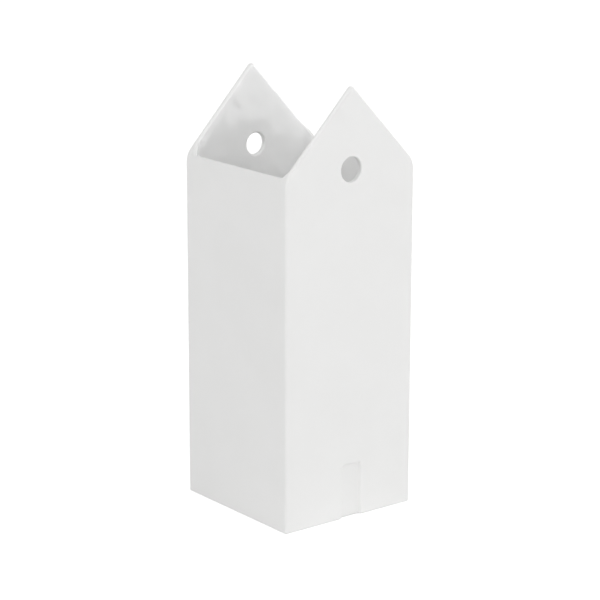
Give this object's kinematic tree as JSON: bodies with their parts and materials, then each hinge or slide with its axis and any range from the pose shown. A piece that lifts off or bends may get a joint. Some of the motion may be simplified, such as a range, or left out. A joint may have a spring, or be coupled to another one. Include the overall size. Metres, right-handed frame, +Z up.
{
  "type": "hanging wall vase",
  "caption": "Tall square porcelain vase shaped like a narrow house, open between its gables, with a round hanging hole in each gable and a shallow door recess.",
  "frame": {"origin": "centre of the base", "axes": "+Z up, -Y towards the front with the door recess, +Y towards the wall it hangs on, +X to the right seen from the front"},
  "size_m": [0.0584, 0.06, 0.1607],
  "materials": {
    "bisque_porcelain": "matt unglazed bisque porcelain, smooth to the touch",
    "clear_glaze": "thin clear glaze over white porcelain, glossy"
  },
  "bodies": {
    "root": {"front_wall": "bisque_porcelain", "rear_wall": "bisque_porcelain", "left_wall": "bisque_porcelain", "right_wall": "bisque_porcelain", "floor": "bisque_porcelain", "glaze_lining": "clear_glaze"}
  },
  "joints": []
}
